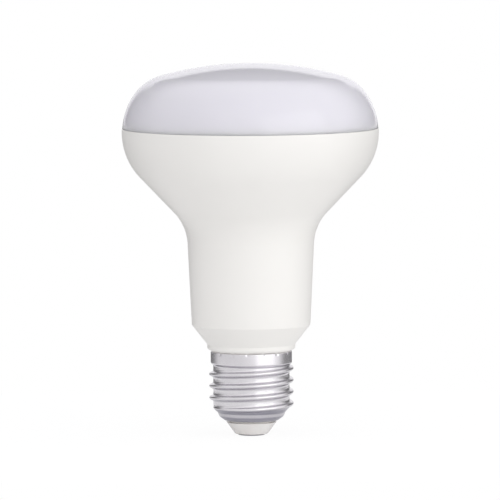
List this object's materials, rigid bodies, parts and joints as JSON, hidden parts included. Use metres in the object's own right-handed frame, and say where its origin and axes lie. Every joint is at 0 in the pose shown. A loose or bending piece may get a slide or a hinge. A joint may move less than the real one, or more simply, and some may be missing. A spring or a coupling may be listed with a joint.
{
  "type": "reflector bulb",
  "caption": "Reflector lamp with an opal domed light face, a flared moulded housing and a screw cap with a centre contact.",
  "frame": {"origin": "middle of the centre contact's flat bottom face, on the lamp's axis", "axes": "+Z along the lamp's axis from the cap to the light face; X and Y across, with the thread's plane of start on +X"},
  "size_m": [0.0788, 0.0788, 0.1142],
  "materials": {
    "opal_diffuser": "opal polycarbonate, polished outside",
    "white_housing": "white thermoplastic, satin moulded",
    "plated_shell": "nickel-plated, bright rolled sheet",
    "white_insulator": "white moulded insulator, glossy",
    "plated_contact": "nickel-plated, plain"
  },
  "bodies": {
    "root": {"diffuser": "opal_diffuser", "housing": "white_housing", "cap_shell": "plated_shell", "cap_insulator": "white_insulator", "centre_contact": "plated_contact"}
  },
  "joints": []
}
